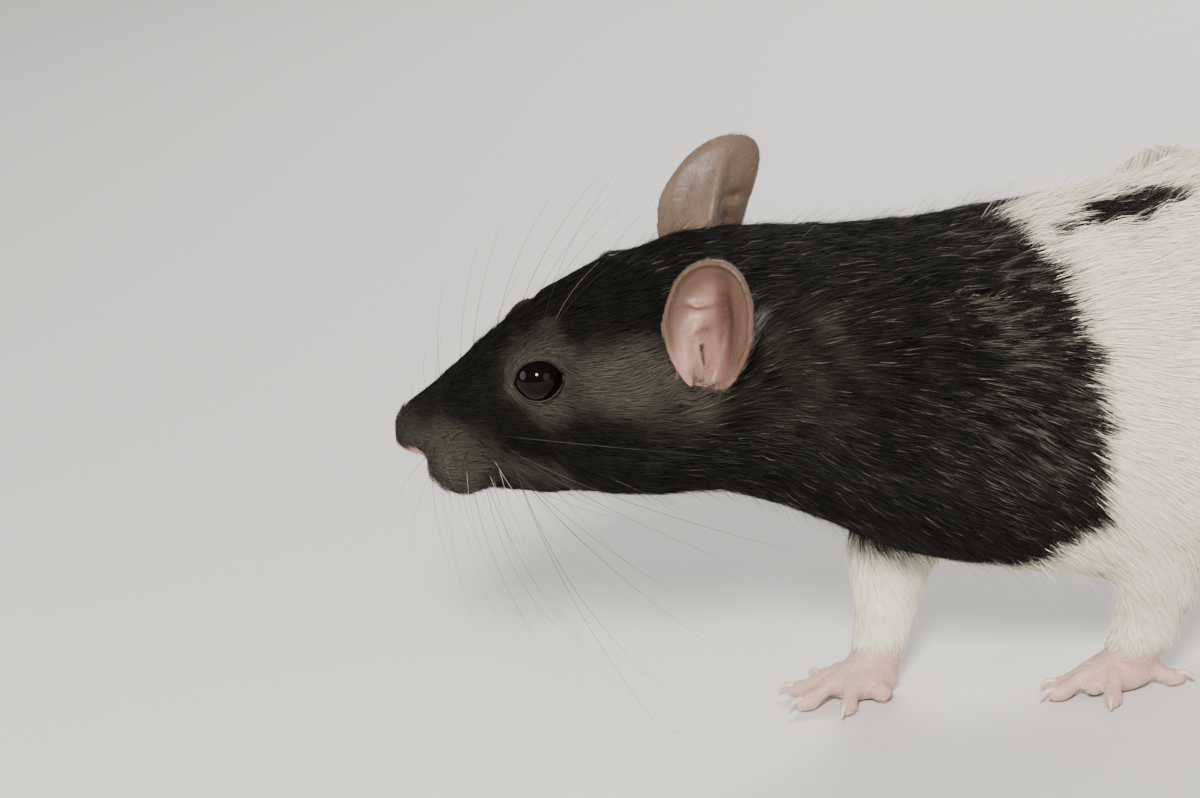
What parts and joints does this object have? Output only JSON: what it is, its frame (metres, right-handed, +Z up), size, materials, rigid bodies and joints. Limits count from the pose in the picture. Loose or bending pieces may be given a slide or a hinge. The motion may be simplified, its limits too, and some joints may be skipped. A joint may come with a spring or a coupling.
{
  "type": "pet rat, hooded",
  "caption": "Life-size still model of a black hooded pet rat, standing with one fore paw forward, neck stretched out and tail laid on the floor.",
  "frame": {"origin": "middle of the bounding box, on the floor that the rat stands on", "axes": "-X is the way the nose points, +Y is the rat's right side, +Z is up; X is the longest extent"},
  "size_m": [0.3604, 0.0685, 0.0814],
  "materials": {
    "black_coat": "short glossy black fur",
    "white_coat": "short cream white fur",
    "ear_skin": "thin bare skin with fine down",
    "paw_skin": "bare pink skin with fine hairs",
    "tail_skin": "ringed scales with short hairs",
    "eye": "wet black gloss"
  },
  "bodies": {
    "root": {"ear_left": "ear_skin", "ear_right": "ear_skin", "eye_left": "eye", "eye_right": "eye", "forearm_left": "white_coat", "forearm_right": "white_coat", "forepaw_left": "paw_skin", "forepaw_right": "paw_skin", "head": "black_coat", "hindpaw_left": "paw_skin", "hindpaw_right": "paw_skin", "hips": "white_coat", "neck": "black_coat", "ribs": "white_coat", "shank_left": "white_coat", "shank_right": "white_coat", "shoulders": "black_coat", "tail_1": "tail_skin", "tail_2": "tail_skin", "tail_3": "tail_skin", "tail_4": "tail_skin", "thigh_left": "white_coat", "thigh_right": "white_coat", "upper_arm_left": "black_coat", "upper_arm_right": "black_coat"}
  },
  "joints": []
}
